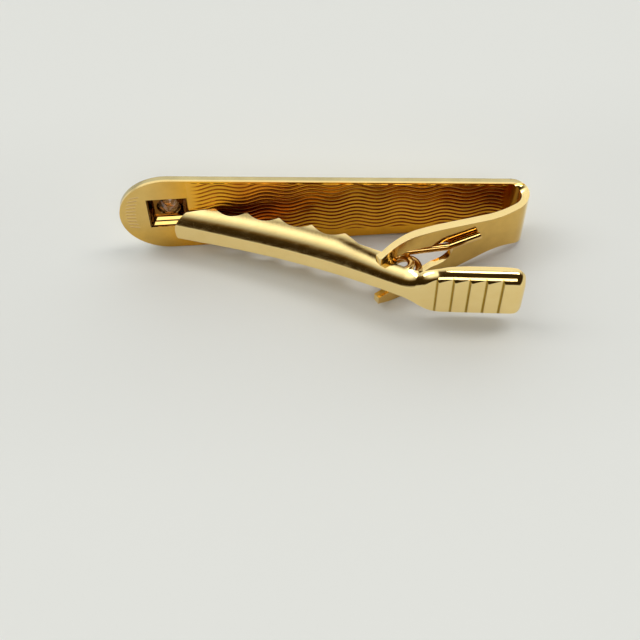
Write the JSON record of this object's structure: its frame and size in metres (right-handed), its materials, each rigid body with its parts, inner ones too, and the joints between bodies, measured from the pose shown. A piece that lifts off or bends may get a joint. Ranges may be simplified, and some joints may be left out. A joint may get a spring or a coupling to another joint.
{
  "type": "tie clip",
  "caption": "Gold-tone pinch tie clip: engraved bar folded into a forked leg, sprung channel lever with scalloped jaw and ribbed thumb tab, and a stone set at the bar's round end.",
  "frame": {"origin": "middle of the bottom of the clip's bounding box as the clip lies on its side", "axes": "+X along the bar from the stone's round end to the fold, +Y from the lever through the bar to the bar's front, +Z across the bar's width and along the lever's pivot"},
  "size_m": [0.0446, 0.0148, 0.0118],
  "materials": {
    "gold_bar": "polished gold-tone plating",
    "gold_lever": "polished gold-tone plating",
    "gold_wire": "gold-tone plated spring wire",
    "gold_collet": "polished gold-tone plating",
    "stone": "polished, faceted"
  },
  "bodies": {
    "bar": {"bar_strip": "gold_bar", "torsion_spring": "gold_wire", "stone_collet": "gold_collet", "stone": "stone"},
    "lever": {"clip_lever": "gold_lever"}
  },
  "joints": [
    {"name": "lever_pivot", "type": "hinge", "parent": "bar", "child": "lever", "pos_m": [0.00631, -0.0029, 0.0047], "axis": [0, 0, 1], "range_deg": [0, 24], "stiffness_Nm_per_rad": 0.02, "springref_deg": -68.75, "deforming": ["torsion_spring"]}
  ]
}
